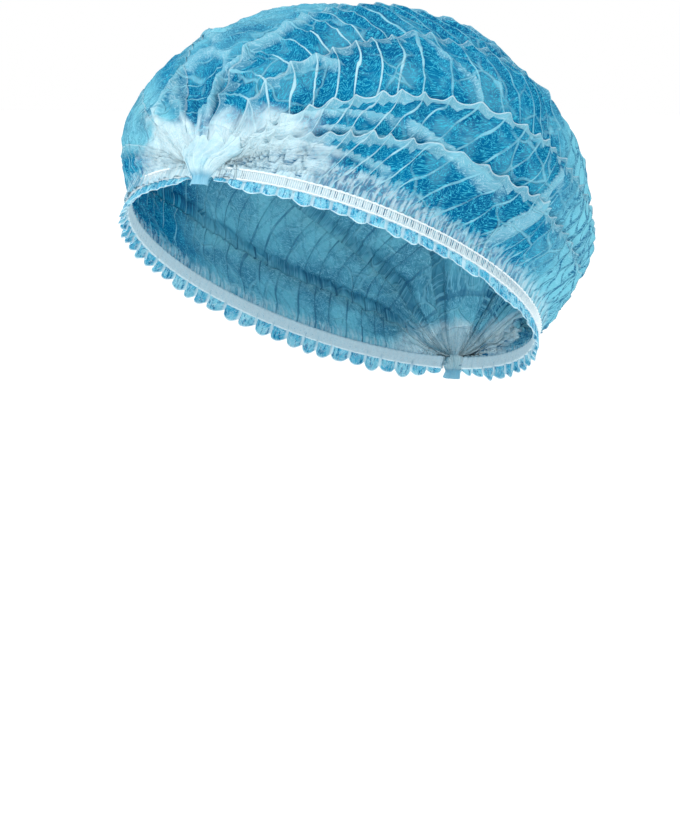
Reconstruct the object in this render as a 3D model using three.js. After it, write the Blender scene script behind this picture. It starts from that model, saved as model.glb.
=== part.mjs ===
// A disposable pleated hairnet in the shape it takes on a head: a strip of thin nonwoven cloth, pleated lengthwise
// and gathered to a welded knot at the forehead and at the nape, with a stitched elastic along each side and a
// scalloped ruffle of the same cloth below it.
// Millimetres, +Z up. The wearer faces -Y, the wearer's left is +X, and the origin is the head opening's centre.
import * as THREE from "three";

const { degToRad, lerp, smoothstep } = THREE.MathUtils;

// The head opening is an ellipse, in a plane that is higher at the forehead than at the nape.
const RIM_HALF_WIDTH = 76;
const RIM_HALF_LENGTH = 96;
const RIM_TILT = degToRad(25);

// The elastics follow the opening's edge, the crown stands above them and the ruffles hang below.
const BAND_HEIGHT = 5;
const BAND_THICKNESS = 1.8;
const BAND_PROUD = 0.3; // how far the elastic stands out of the cloth's face
const SEAM_GAP = 0.3; // between pieces that are sewn or welded to each other
const CLOTH_WALL = 1.5;

// The crown is a dome over the opening, puffed out past the elastics, more so behind and on the wearer's right.
const CROWN_HEIGHT = 106; // above the opening's plane
const PUFF_LEFT = 14;
const PUFF_RIGHT = 21;
const PUFF_BEHIND = 7.5;
const OVERHANG_BACK = 13;
const OVERHANG_FRONT = 2;
const CROWN_LEAN = 5.6; // how far the top lies behind the middle of the opening
const RISE_FRONT = 0.95; // exponents of the dome's curves: lower is fuller
const RISE_BACK = 0.54;
const SIDE_ROUNDING = 0.75;
const TOP_ROUNDING = 0.97;
const PUFF_LOW = 1.6; // higher puts the sides' puff nearer the elastics
const PINCH_REACH = 0.3; // the cloth is pinched in to the knots where its width is under this share of the widest

// Each pleat's outer edge lies over the panel above it, as a shingle does.
const PLEAT_STEP = 2.4;
const PANEL_PUFF = 1.6;
const SUNK_SHARE = 0.35; // share of the step and the puff that lies inside the dome
const RIB_DEPTH = 0.7; // half the height of the creases across the panels
const EDGE_WAVE = 1.1; // how far the pleats' edges swing between creases
const GATHER_DEPTH = 1; // half the height of the tucks next to the elastics
const DENT_DEPTH = 6;

// The ruffle's scallops and the knots.
const RUFFLE_DROP = 7;
const RUFFLE_FLARE = 1.2;
const RUFFLE_WAVE = 1.1;
const RUFFLE_LEFT_SHARE = 0.4; // share of the ruffles' drop that is left at the knots
const KNOT_WIDTH = 22;
const KNOT_DEPTH = 6;
const KNOT_RISE = 13; // above the opening's plane
const TAB_DROP = 3.5; // below the elastic's lower edge
const TAB_THICKNESS = 1.8;
const KNOT_FLUTE = 0.6;

const RIBS = 40; // creases from front to back
const SCALLOPS = 36; // on each ruffle
const STEPS_PER_SCALLOP = 4;
const BAND_STEPS = 44;
const FLUTES = 5;
const END_SHARE = 0.02; // share of the way round that each knot takes from the cloth and the elastics
const CALM_REACH = 0.3; // the relief grows from nothing at the knots to its full height at this share of the width

// The outer edge of each pleat, from the wearer's right to the left. The angles are in degrees from the crown's
// middle line, near the front knot, over the top and near the rear knot, and bend smoothly in between.
const PLEATS = [
  { name: "right_low", front: -78, over: -72, back: -74 },
  { name: "right_side", front: -66, over: -44, back: -55 },
  { name: "right_top", front: -42, over: -22, back: -28 },
  { name: "left_top", front: -16, over: 30, back: 15 },
  { name: "left_shoulder", front: 20, over: 45, back: 38 },
  { name: "left_main", front: 50, over: 66, back: 60 },
  { name: "left_low", front: 66, over: 80, back: 74 },
];
const CROWN_PANEL = PLEATS.findIndex((pleat) => pleat.name === "left_top"); // both its sides lie under its neighbours

// Hollows pressed into the cloth, and swells where depth is negative. Along is the share of the way from the front
// knot to the rear one, angle is as above, the reaches are half widths and depth is a share of DENT_DEPTH.
const DENTS = [
  { name: "pocket_by_knot", along: 0.13, reach: 0.05, angle: -29, spread: 11, depth: 0.9 },
  { name: "swell_by_pocket", along: 0.12, reach: 0.05, angle: -58, spread: 12, depth: -0.6 },
  { name: "swell_over_knot", along: 0.1, reach: 0.05, angle: 30, spread: 18, depth: -0.45 },
  { name: "low_crumple", along: 0.24, reach: 0.04, angle: 76, spread: 6, depth: 0.4 },
  { name: "slant_fold", along: 0.48, reach: 0.03, angle: 76, spread: 12, depth: -0.7 },
  { name: "top_hollow", along: 0.36, reach: 0.08, angle: 22, spread: 12, depth: 0.5 },
  { name: "nape_tuck_left", along: 0.84, reach: 0.12, angle: 66, spread: 20, depth: 0.35 },
  { name: "shoulder_hollow", along: 0.64, reach: 0.1, angle: 50, spread: 18, depth: 0.3 },
  { name: "nape_tuck_right", along: 0.84, reach: 0.1, angle: -66, spread: 20, depth: 0.7 },
];

const CLOTH = new THREE.MeshStandardMaterial({ color: 0x2aa3c9, roughness: 0.85, metalness: 0 });
const GATHERED_CLOTH = new THREE.MeshStandardMaterial({ color: 0xbfe3ed, roughness: 0.85, metalness: 0 });
const ELASTIC = new THREE.MeshStandardMaterial({ color: 0xe6f3f6, roughness: 0.75, metalness: 0 });

// A point from its distances across, back along and up from the opening's plane.
function fromRim(across, length, up) {
  return new THREE.Vector3(
    across,
    length * Math.cos(RIM_TILT) + up * Math.sin(RIM_TILT),
    up * Math.cos(RIM_TILT) - length * Math.sin(RIM_TILT),
  );
}

const crownFoot = BAND_HEIGHT / 2 + SEAM_GAP;
const ruffleTop = -BAND_HEIGHT / 2 - SEAM_GAP;

// The smooth dome that the pleats lie on. Along runs from 0 at the front knot to 1 at the rear one, and angle from
// 0 at the crown's middle line to a quarter turn at the elastics, positive on the wearer's left.
function domePoint(along, angle) {
  const turn = Math.PI * along;
  const width = Math.sin(turn);
  const fore = -Math.cos(turn);
  const behind = Math.max(fore, 0);
  const ahead = Math.max(-fore, 0);
  const pinch = smoothstep(width, 0, PINCH_REACH);
  const rise = pinch * width ** lerp(RISE_FRONT, RISE_BACK, (1 + fore) / 2);
  const low = Math.abs(angle) / (Math.PI / 2);
  const lean = Math.max(Math.cos(angle), 0);
  const puff = (angle < 0 ? PUFF_RIGHT : PUFF_LEFT) + PUFF_BEHIND * behind;
  const side = RIM_HALF_WIDTH * width * Math.abs(Math.sin(angle)) ** SIDE_ROUNDING;
  const across = Math.sign(angle) * (side + puff * rise * Math.sin(Math.PI * low ** PUFF_LOW));
  const overhang = (1 - low ** 4) * rise * pinch * (OVERHANG_BACK * behind ** 2 - OVERHANG_FRONT * ahead ** 2);
  const length = RIM_HALF_LENGTH * fore + overhang + CROWN_LEAN * lean * width;
  const up = crownFoot + (CROWN_HEIGHT - crownFoot) * rise * lean ** TOP_ROUNDING;
  return fromRim(across, length, up);
}

// The dome's outward direction. At the elastics it turns level with the opening's plane, so that the wall's foot
// is flat.
function domeNormal(along, angle) {
  const step = 0.004;
  const edge = Math.PI / 2;
  const lower = Math.max(angle - step, -edge);
  const upper = Math.min(angle + step, edge);
  const ahead = domePoint(along + step, angle).sub(domePoint(along - step, angle));
  const around = domePoint(along, upper).sub(domePoint(along, lower));
  const normal = around.cross(ahead).normalize();
  const opening = fromRim(0, 0, 1);
  const level = smoothstep(Math.abs(angle), edge * 0.85, edge);
  return normal.addScaledVector(opening, -normal.dot(opening) * level).normalize();
}

function pleatAngle(pleat, along) {
  const rest = 1 - along;
  return degToRad(pleat.front * rest ** 2 + 2 * pleat.over * rest * along + pleat.back * along ** 2);
}

// The panels between pleats, each with the shares of its width where the mesh has a line of points.
const PANEL_STOPS = [0.04, 0.5, 0.96];
const FIRST_STOPS = [0, 0.2, 0.5, 0.96];
const LAST_STOPS = [0.04, 0.5, 0.8, 1];
const panelCount = PLEATS.length + 1;
const crownLines = Array.from({ length: panelCount }, (_, panel) => {
  const stops = panel === 0 ? FIRST_STOPS : panel === panelCount - 1 ? LAST_STOPS : PANEL_STOPS;
  return stops.map((share) => ({ panel, share }));
}).flat();

function dentAt(along, angle) {
  return DENTS.reduce((sum, dent) => {
    const down = (along - dent.along) / dent.reach;
    const aside = (angle - degToRad(dent.angle)) / degToRad(dent.spread);
    return sum + DENT_DEPTH * dent.depth * Math.exp(-(down ** 2) - aside ** 2);
  }, 0);
}

// The crown's cloth on one line of a panel: where it lies on the dome and how far it stands off it.
function clothAt(along, { panel, share }) {
  const edges = [-Math.PI / 2, ...PLEATS.map((pleat) => pleatAngle(pleat, along)), Math.PI / 2];
  const outer = panel < CROWN_PANEL ? share : panel > CROWN_PANEL ? 1 - share : 0; // 1 at the pleat's outer edge
  const calm = smoothstep(Math.sin(Math.PI * along), 2 * END_SHARE, CALM_REACH);
  const wave = Math.cos(2 * Math.PI * RIBS * along) * calm;
  const inward = panel < CROWN_PANEL ? 1 : -1;
  const free = panel === CROWN_PANEL ? 0 : smoothstep(outer, 0.5, 1);
  const swing = (EDGE_WAVE / CROWN_HEIGHT) * wave * free * inward;
  const angle = lerp(edges[panel], edges[panel + 1], share) + swing;
  const foot = (panel === 0 || panel === panelCount - 1) ? Math.exp(-(((outer - 0.2) / 0.15) ** 2)) : 0;
  const atFoot = Math.abs(angle) > Math.PI / 2 - 1e-6 ? 0 : 1;
  const fold = PLEAT_STEP * (outer - SUNK_SHARE) + PANEL_PUFF * (Math.sin(Math.PI * share) - SUNK_SHARE);
  const crease = (RIB_DEPTH * (0.4 + 0.6 * outer) + GATHER_DEPTH * foot) * wave;
  return { angle, off: ((fold - dentAt(along, angle)) * calm + crease) * atFoot };
}

// A closed solid between an outer and an inner grid of points, joined round their four edges.
function sheetSolid(rows, columns, pointsAt) {
  const vertices = [];
  const indices = [];
  const at = (row, column, face) => (row * columns + column) * 2 + face;
  for (let row = 0; row < rows; row++) {
    for (let column = 0; column < columns; column++) {
      const { outer, inner } = pointsAt(row, column);
      vertices.push(...outer.toArray(), ...inner.toArray());
    }
  }
  const quad = (a, b, c, d) => indices.push(a, b, c, a, c, d);
  for (let row = 0; row < rows - 1; row++) {
    for (let column = 0; column < columns - 1; column++) {
      quad(at(row, column, 0), at(row, column + 1, 0), at(row + 1, column + 1, 0), at(row + 1, column, 0));
      quad(at(row, column, 1), at(row + 1, column, 1), at(row + 1, column + 1, 1), at(row, column + 1, 1));
    }
    quad(at(row, 0, 1), at(row, 0, 0), at(row + 1, 0, 0), at(row + 1, 0, 1));
    const last = columns - 1;
    quad(at(row, last, 0), at(row, last, 1), at(row + 1, last, 1), at(row + 1, last, 0));
  }
  for (let column = 0; column < columns - 1; column++) {
    quad(at(0, column, 1), at(0, column + 1, 1), at(0, column + 1, 0), at(0, column, 0));
    const last = rows - 1;
    quad(at(last, column, 0), at(last, column + 1, 0), at(last, column + 1, 1), at(last, column, 1));
  }
  const geometry = new THREE.BufferGeometry();
  geometry.setAttribute("position", new THREE.Float32BufferAttribute(vertices, 3));
  geometry.setIndex(indices);
  geometry.computeVertexNormals();
  return geometry;
}

function alongAt(step, steps) {
  return lerp(END_SHARE, 1 - END_SHARE, step / steps);
}

const crownSteps = 2 * RIBS;

function crownPoints(row, column) {
  const along = alongAt(row, crownSteps);
  const { angle, off } = clothAt(along, crownLines[column]);
  const normal = domeNormal(along, angle);
  const outer = domePoint(along, angle).addScaledVector(normal, off);
  return { outer, inner: outer.clone().addScaledVector(normal, -CLOTH_WALL) };
}

function crownGeometry() {
  return sheetSolid(crownSteps + 1, crownLines.length, crownPoints);
}

// How far the crown reaches toward the forehead (end -1) or the nape (end 1) at the height of the knot.
function crownReach(end) {
  const lengthways = fromRim(0, 1, 0);
  const upright = fromRim(0, 0, 1);
  const rows = [0, 1, 2, 3, 4, 5, 6].map((row) => (end < 0 ? row : crownSteps - row));
  const low = rows
    .flatMap((row) => crownLines.map((_, column) => crownPoints(row, column).outer))
    .filter((point) => point.dot(upright) < KNOT_RISE + CLOTH_WALL && Math.abs(point.x) < KNOT_WIDTH);
  return Math.max(...low.map((point) => end * point.dot(lengthways)));
}

// A point of the opening's edge, moved out in its plane and up from it. Side is 1 on the wearer's left, -1 on the right.
function rimPoint(along, side, out, up) {
  const turn = Math.PI * along;
  const facing = new THREE.Vector2(Math.sin(turn) / RIM_HALF_WIDTH, -Math.cos(turn) / RIM_HALF_LENGTH).normalize();
  const across = RIM_HALF_WIDTH * Math.sin(turn) + out * facing.x;
  const length = -RIM_HALF_LENGTH * Math.cos(turn) + out * facing.y;
  return fromRim(side * across, length, up);
}

// Each strip's columns run upward on the wearer's left and downward on the right, so that its outer face faces out.
function bandGeometry(side) {
  return sheetSolid(BAND_STEPS + 1, 2, (row, column) => {
    const along = alongAt(row, BAND_STEPS);
    const up = (BAND_HEIGHT / 2) * (column === 0 ? side : -side);
    const outer = rimPoint(along, side, BAND_PROUD, up);
    return { outer, inner: rimPoint(along, side, BAND_PROUD - BAND_THICKNESS, up) };
  });
}

function ruffleGeometry(side) {
  const steps = SCALLOPS * STEPS_PER_SCALLOP;
  return sheetSolid(steps + 1, 2, (row, column) => {
    const along = alongAt(row, steps);
    const scallop = (row / STEPS_PER_SCALLOP) * Math.PI;
    const hem = (column === 0) === (side < 0);
    const fullness = lerp(RUFFLE_LEFT_SHARE, 1, smoothstep(Math.sin(Math.PI * along), 0, CALM_REACH));
    const drop = hem ? RUFFLE_DROP * fullness * (0.72 + 0.28 * Math.abs(Math.sin(scallop))) : 0;
    const out = hem ? RUFFLE_FLARE - RUFFLE_WAVE * Math.cos(2 * scallop) : 0;
    const up = ruffleTop - drop;
    return { outer: rimPoint(along, side, out, up), inner: rimPoint(along, side, out - CLOTH_WALL, up) };
  });
}

// The sections of a knot from its top to the end of its tab: width and depth are shares of KNOT_WIDTH and KNOT_DEPTH,
// and up is a share of the rise above the opening's plane, or of the tab's whole drop below it.
const KNOT_SECTIONS = [
  { name: "top", up: 1, width: 0.9, depth: 0 },
  { name: "fan", up: 0.8, width: 1, depth: 0.6 },
  { name: "bunch", up: 0.35, width: 0.82, depth: 1 },
  { name: "waist", up: -0.15, width: 0.46, depth: 0.65 },
  { name: "weld", up: -0.55, width: 0.3, depth: 0 },
  { name: "tab_end", up: -1, width: 0.36, depth: 0 },
];
const KNOT_SIDES = 20;

// A knot is a fluted bunch of cloth with a flat welded tab below it. It lies against the ends of the crown, the
// elastics and the ruffles. End is -1 at the forehead and 1 at the nape.
function knotGeometry(end) {
  const tabDrop = BAND_HEIGHT / 2 + TAB_DROP;
  const behindCrown = crownReach(end) + SEAM_GAP;
  const behindBands = RIM_HALF_LENGTH + BAND_PROUD + SEAM_GAP;
  const rings = KNOT_SECTIONS.map((section) => {
    const up = section.up > 0 ? section.up * KNOT_RISE : section.up * tabDrop;
    const halfWidth = (section.width * KNOT_WIDTH) / 2;
    const depth = Math.max(section.depth * KNOT_DEPTH, TAB_THICKNESS);
    const back = section.up > 0 ? Math.max(behindCrown, behindBands) : behindBands;
    return Array.from({ length: KNOT_SIDES + 1 }, (_, i) => {
      const turn = (Math.PI * i) / KNOT_SIDES;
      const flute = KNOT_FLUTE * section.depth * (Math.cos(2 * FLUTES * turn) - 1) * Math.sin(turn);
      return fromRim(-end * halfWidth * Math.cos(turn), end * (back + (depth + flute) * Math.sin(turn) ** 0.5), up);
    });
  });
  const columns = KNOT_SIDES + 1;
  const vertices = rings.flat().flatMap((point) => point.toArray());
  const indices = [];
  const quad = (a, b, c, d) => indices.push(a, b, c, a, c, d);
  for (let row = 0; row < rings.length - 1; row++) {
    for (let column = 0; column < columns; column++) {
      const next = (column + 1) % columns;
      quad(row * columns + column, row * columns + next, (row + 1) * columns + next, (row + 1) * columns + column);
    }
  }
  const lastRing = (rings.length - 1) * columns;
  for (let column = 1; column < columns - 1; column++) {
    indices.push(0, column + 1, column);
    indices.push(lastRing, lastRing + column, lastRing + column + 1);
  }
  const geometry = new THREE.BufferGeometry();
  geometry.setAttribute("position", new THREE.Float32BufferAttribute(vertices, 3));
  geometry.setIndex(indices);
  geometry.computeVertexNormals();
  return geometry;
}

function piece(name, geometry, material) {
  const mesh = new THREE.Mesh(geometry, material);
  mesh.name = name;
  return mesh;
}

const hairnet = new THREE.Group();
hairnet.add(piece("crown", crownGeometry(), CLOTH));
for (const [name, side] of [["left", 1], ["right", -1]]) {
  hairnet.add(piece(`elastic_${name}`, bandGeometry(side), ELASTIC));
  hairnet.add(piece(`ruffle_${name}`, ruffleGeometry(side), CLOTH));
}
hairnet.add(piece("front_knot", knotGeometry(-1), GATHERED_CLOTH));
hairnet.add(piece("rear_knot", knotGeometry(1), GATHERED_CLOTH));

export default hairnet;
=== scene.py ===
"""The looks of a disposable pleated hairnet: thin blue nonwoven cloth, stitched elastics, ruffles and knots.

Metres, in the frame's axes: the wearer faces -Y, the wearer's left is +X, and the origin is the centre of
the head opening. Along runs from 0 at the front knot to 1 at the rear one. Angle runs from a negative quarter
turn at the right elastic, over 0 at the crown's middle line, to a quarter turn at the left elastic.
"""

import math

import bpy
import numpy as np
from mathutils import Matrix, Vector
from mathutils.kdtree import KDTree


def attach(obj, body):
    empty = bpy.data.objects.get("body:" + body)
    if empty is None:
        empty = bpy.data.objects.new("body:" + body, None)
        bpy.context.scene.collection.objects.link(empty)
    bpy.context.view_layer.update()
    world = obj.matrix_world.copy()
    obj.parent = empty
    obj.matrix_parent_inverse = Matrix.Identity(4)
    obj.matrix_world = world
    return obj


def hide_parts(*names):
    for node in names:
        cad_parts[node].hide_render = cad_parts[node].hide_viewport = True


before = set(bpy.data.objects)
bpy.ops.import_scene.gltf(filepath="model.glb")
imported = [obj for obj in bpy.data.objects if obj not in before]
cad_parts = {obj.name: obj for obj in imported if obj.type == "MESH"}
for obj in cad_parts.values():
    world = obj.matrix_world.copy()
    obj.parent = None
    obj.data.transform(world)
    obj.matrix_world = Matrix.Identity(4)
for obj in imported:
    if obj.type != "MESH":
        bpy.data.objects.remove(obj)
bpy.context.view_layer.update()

MM = 0.001
QUARTER = math.pi / 2

# The head opening, the elastics and the crown, with the same values as the solids.
RIM_HALF_WIDTH = 0.076
RIM_HALF_LENGTH = 0.096
RIM_TILT = math.radians(25)
BAND_HEIGHT = 0.005
BAND_PROUD = 0.0003
SEAM_GAP = 0.0003
CROWN_HEIGHT = 0.106
PUFF_LEFT = 0.014
PUFF_RIGHT = 0.021
PUFF_BEHIND = 0.0075
OVERHANG_BACK = 0.013
OVERHANG_FRONT = 0.002
CROWN_LEAN = 0.0056
RISE_FRONT = 0.95
RISE_BACK = 0.54
SIDE_ROUNDING = 0.75
TOP_ROUNDING = 0.97
PUFF_LOW = 1.6
PINCH_REACH = 0.3
PLEAT_STEP = 0.0024
PANEL_PUFF = 0.0016
SUNK_SHARE = 0.35
RIB_DEPTH = 0.0007
DENT_DEPTH = 0.006
CALM_REACH = 0.3
RIBS = 40
SCALLOPS = 36
RUFFLE_DROP = 0.007
RUFFLE_FLARE = 0.0012
RUFFLE_WAVE = 0.0011
RUFFLE_LEFT_SHARE = 0.4
KNOT_WIDTH = 0.022
KNOT_DEPTH = 0.006
KNOT_RISE = 0.013
TAB_DROP = 0.0035
TAB_THICKNESS = 0.0018

# Finer sizes that only the looks have.
OVERLAP = 0.0062  # how far a pleat's edge lies over the panel above it
EDGE_WAVE = 0.0011  # how far that edge swings between creases
CRUMPLE = 0.0011
SINK = 0.0006  # how far the thin cloth lies inside the solid's face
POCKET_RIM = 0.0017
POCKET_REACH = 0.052  # along, from the pocket's middle to where its rim begins
POCKET_SPREAD = 13  # across, in degrees
BESIDE_POCKET = 0.0012  # how far the cloth sinks on the pocket's right
GATHER_DEPTH = 0.0012
GATHER_PITCH = 0.0034
GATHER_FADE = (0.013, 0.03)  # how far above the elastics the gathers begin to fade, and where they end
KNOT_PALE_FADE = (0.016, 0.052)  # the same for the pale cloth round a knot
FLUTE_DEPTH = 0.0012  # the folds that run out from the knots
TUCK_DEPTH = 0.0006  # the fine tucks above the elastics
TUCK_PITCH = 0.0021
SKIRT_PROUD = 0.0016  # how far the cloth that hangs over the elastics by the front knot stands out
SKIRT_RIGHT_END = (0.2, 0.3)  # where along the crown that cloth ends on either side
SKIRT_LEFT_END = (0.05, 0.08)
FREE_OF_PLEAT = 0.01  # the middle panel counts as this far below an edge, so that it has no doubled cloth
FAN_SPREAD = 0.35  # how much wider the knot's cloth spreads than its solid
CROWN_ROWS = 820
END_SHARE = 0.012
EDGE_CROWDING = 1.35  # above 1, a panel's lines of points lie closer towards its pleat's edge
FOLD_SHARES = (0.1, 0.5, 1.0)  # lines of points in the folded cloth, as shares of its depth
STRIP_START, STRIP_END = 0.02, 0.98  # where along the opening the elastics and ruffles begin and end
STEPS_A_SCALLOP = 22
RUFFLE_ROWS = 15
RUFFLE_TOP = 0.003  # how far the ruffle begins below the elastic's upper edge
RUFFLE_INSIDE = 0.0007  # how far its top lies inside the opening's edge
RUFFLE_TUCK_PITCH = 0.0016
ELASTIC_STEPS = 560
PUCKER_PITCH = 0.0035
STITCH_PITCH = 0.0018
STITCH_RADIUS = 0.00034
CROSS_THREADS = 300
CROSS_THREAD_RADIUS = 0.00017
CROSS_THREAD_LEAN = 0.0005
KNOT_STEPS, KNOT_SIDES = 80, 140
CLOTH_LENGTH = 0.33  # along the crown from knot to knot, to turn shares into metres
CLOTH_RADIUS = 0.085  # across it, to turn angles into metres
UV_STRETCH = 10  # metres down the cloth are kept in its coordinates times this


def table(keys, rows):
    return [dict(zip(keys.split(), row)) for row in rows]


# The outer edge of each pleat, as in the solids: degrees from the crown's middle line near the front knot,
# over the top and near the rear knot. Columns is how many lines of points the panel before it has. Wave is
# the edge's swing as a share of EDGE_WAVE, and light is how pale the doubled cloth along it looks.
PLEATS = table("name front over back columns wave light", [
    ("right_low", -78, -72, -74, 16, 0.5, 0.5),
    ("right_side", -66, -44, -55, 18, 0.4, 0.4),
    ("right_top", -42, -22, -28, 20, 0.3, 0.35),
    ("left_top", -16, 30, 15, 34, 0.35, 0.4),
    ("left_shoulder", 20, 45, 38, 22, 0.45, 0.45),
    ("left_main", 50, 66, 60, 24, 1.0, 1.0),
    ("left_low", 66, 80, 74, 20, 0.7, 0.8),
])
LAST_PANEL_COLUMNS = 18
CROWN_PANEL = 3
PANELS = len(PLEATS) + 1

# How far the creases lean forward on their way down each panel, as a share of the way down.
CREASE_LEAN = [0.25, 0.2, -0.1, 0.0, -0.15, -0.1, 0.55, 0.6]
BROW_LEAN = [0.0, 0.0, 0.0, 0.0, 0.3, 0.6, 0.2, 0.0]  # added to it over the brow

# Hollows pressed into the cloth, and swells where depth is negative, as in the solids.
DENTS = table("name along reach angle spread depth", [
    ("pocket_by_knot", 0.13, 0.05, -29, 11, 0.9),
    ("swell_by_pocket", 0.12, 0.05, -58, 12, -0.6),
    ("swell_over_knot", 0.1, 0.05, 30, 18, -0.45),
    ("low_crumple", 0.24, 0.04, 76, 6, 0.4),
    ("slant_fold", 0.48, 0.03, 76, 12, -0.7),
    ("top_hollow", 0.36, 0.08, 22, 12, 0.5),
    ("nape_tuck_left", 0.84, 0.12, 66, 20, 0.35),
    ("shoulder_hollow", 0.64, 0.1, 50, 18, 0.3),
    ("nape_tuck_right", 0.84, 0.1, -66, 20, 0.7),
])

# Folds that cross the panels. Points are (along, degrees), width and lift are in millimetres, and pale is how
# light the doubled cloth looks. The fold drops steeply on its right as seen from its first point to its last.
CROSS_FOLDS = table("name width lift pale points", [
    ("top_ridge", 8, 2.2, 0.85, [(0.06, -20), (0.12, -13), (0.18, -1), (0.26, 6)]),
    ("upper_fold", 6, 1.8, 0.9, [(0.06, 20), (0.12, 23), (0.17, 28), (0.2, 41)]),
    ("drop_fold", 4, 1.0, 0.6, [(0.31, 33), (0.33, 44), (0.36, 51), (0.37, 59)]),
    ("low_slant", 6, 1.5, 0.9, [(0.25, 64), (0.3, 70), (0.36, 74), (0.44, 77)]),
    ("wide_strip", 8, 1.5, 0.9, [(0.43, 88), (0.46, 80), (0.49, 72), (0.52, 62)]),
    ("crumple_fold", 5, 1.5, 0.9, [(0.1, 70), (0.15, 75), (0.2, 78), (0.28, 82)]),
    ("crumple_low", 4, 1.2, 0.8, [(0.14, 64), (0.2, 69), (0.27, 73)]),
    ("knot_side", 5, 1.3, 0.9, [(0.07, 45), (0.12, 55), (0.19, 62), (0.26, 66)]),
    ("pocket_side", 7, 2.0, 0.7, [(0.18, -40), (0.15, -46), (0.11, -55), (0.05, -70)]),
    ("right_fold", 7, 1.3, 0.6, [(0.19, -22), (0.23, -27), (0.3, -33), (0.36, -42)]),
    ("top_wrinkle", 4, 0.9, 0.5, [(0.36, 2), (0.4, 12), (0.46, 18), (0.5, 28)]),
    ("shoulder_wrinkle", 4, 0.9, 0.5, [(0.44, 24), (0.5, 33), (0.53, 46)]),
    ("back_left", 6, 1.2, 0.5, [(0.62, 50), (0.7, 38), (0.8, 30)]),
    ("back_right", 6, 1.2, 0.5, [(0.78, -20), (0.68, -34), (0.6, -52)]),
])

# Colours from the photo, in sRGB.
DEEP_BLUE = (0, 92, 140)
MID_BLUE = (0, 112, 158)
STANDING_BLUE = (116, 198, 217)
DARK_LINE = (0, 92, 136)
RIB_LINE = (136, 208, 228)
FINE_LINE = (64, 190, 218)
# The next blue is the colour of doubled cloth, and the knots' hollows are also painted in it as shade.
DOUBLED_AND_SHADE = (128, 200, 220)
GATHERED = (212, 237, 244)
RUFFLE_BLUE = (66, 168, 202)
ELASTIC_WHITE = (240, 248, 251)
ELASTIC_BASE = (214, 236, 243)

CLOTH_ROUGHNESS = 0.72
CLOTH_THROUGH = 0.22  # share of the light that the cloth scatters through
ELASTIC_THROUGH = 0.1
BUMP_DISTANCE = 0.0004

# The photo's camera.
IMAGE_WIDTH, IMAGE_HEIGHT = 680, 828
CAMERA_AZIMUTH = math.radians(33.7)
CAMERA_ELEVATION = math.radians(2.8)
CAMERA_DISTANCE = 1.6
CAMERA_FOCAL_PIXELS = 4126.0
ORIGIN_PIXEL = (334.7, 272.0)
SENSOR_WIDTH = 36.0


def smooth(x, low, high):
    t = np.clip((x - low) / (high - low), 0, 1)
    return t * t * (3 - 2 * t)


def lerp(a, b, t):
    return a + (b - a) * t


LATTICE = np.random.default_rng(7).uniform(-1, 1, (8, 257, 257))


def noise(u, v, layer):
    """Smooth noise from -1 to 1 that changes over about one unit of u and of v."""
    u, v = np.broadcast_arrays(u, v)
    iu, iv = np.floor(u).astype(int), np.floor(v).astype(int)
    fu, fv = smooth(u - iu, 0, 1), smooth(v - iv, 0, 1)
    grid = LATTICE[layer % len(LATTICE)]
    low = lerp(grid[iu % 257, iv % 257], grid[(iu + 1) % 257, iv % 257], fu)
    high = lerp(grid[iu % 257, (iv + 1) % 257], grid[(iu + 1) % 257, (iv + 1) % 257], fu)
    return lerp(low, high, fv)


def from_rim(across, length, up):
    """Points from their distances across, back along and up from the opening's plane."""
    y = length * math.cos(RIM_TILT) + up * math.sin(RIM_TILT)
    z = up * math.cos(RIM_TILT) - length * math.sin(RIM_TILT)
    return np.stack(np.broadcast_arrays(across, y, z), axis=-1)


CROWN_FOOT = BAND_HEIGHT / 2 + SEAM_GAP


def dome_point(along, angle):
    """The smooth dome that the cloth lies on."""
    width = np.sin(np.pi * along)
    fore = -np.cos(np.pi * along)
    behind, ahead = np.maximum(fore, 0), np.maximum(-fore, 0)
    pinch = smooth(width, 0, PINCH_REACH)
    rise = pinch * width ** lerp(RISE_FRONT, RISE_BACK, (1 + fore) / 2)
    low = np.abs(angle) / QUARTER
    lean = np.maximum(np.cos(angle), 0)
    puff = np.where(angle < 0, PUFF_RIGHT, PUFF_LEFT) + PUFF_BEHIND * behind
    side = RIM_HALF_WIDTH * width * np.abs(np.sin(angle)) ** SIDE_ROUNDING
    across = np.sign(angle) * (side + puff * rise * np.sin(np.pi * np.clip(low, 0, 1) ** PUFF_LOW))
    overhang = (1 - low**4) * rise * pinch * (OVERHANG_BACK * behind**2 - OVERHANG_FRONT * ahead**2)
    length = RIM_HALF_LENGTH * fore + overhang + CROWN_LEAN * lean * width
    up = CROWN_FOOT + (CROWN_HEIGHT - CROWN_FOOT) * rise * lean**TOP_ROUNDING
    return from_rim(across, length, up)


def dome_normal(along, angle):
    step = 0.004
    lower, upper = np.maximum(angle - step, -QUARTER), np.minimum(angle + step, QUARTER)
    ahead = dome_point(along + step, angle) - dome_point(along - step, angle)
    around = dome_point(along, upper) - dome_point(along, lower)
    normal = np.cross(around, ahead)
    normal /= np.linalg.norm(normal, axis=-1, keepdims=True)
    opening = from_rim(0.0, 0.0, 1.0)
    level = smooth(np.abs(angle), QUARTER * 0.85, QUARTER)[..., None]
    normal = normal - opening * (normal @ opening)[..., None] * level
    return normal / np.linalg.norm(normal, axis=-1, keepdims=True)


def metres_a_radian(along, angle):
    step = 0.01
    across = dome_point(along, angle + step) - dome_point(along, angle - step)
    return np.linalg.norm(across, axis=-1) / (2 * step)


def pleat_angle(pleat, along):
    rest = 1 - along
    degrees = pleat["front"] * rest**2 + 2 * pleat["over"] * rest * along + pleat["back"] * along**2
    return np.radians(degrees)


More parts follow.
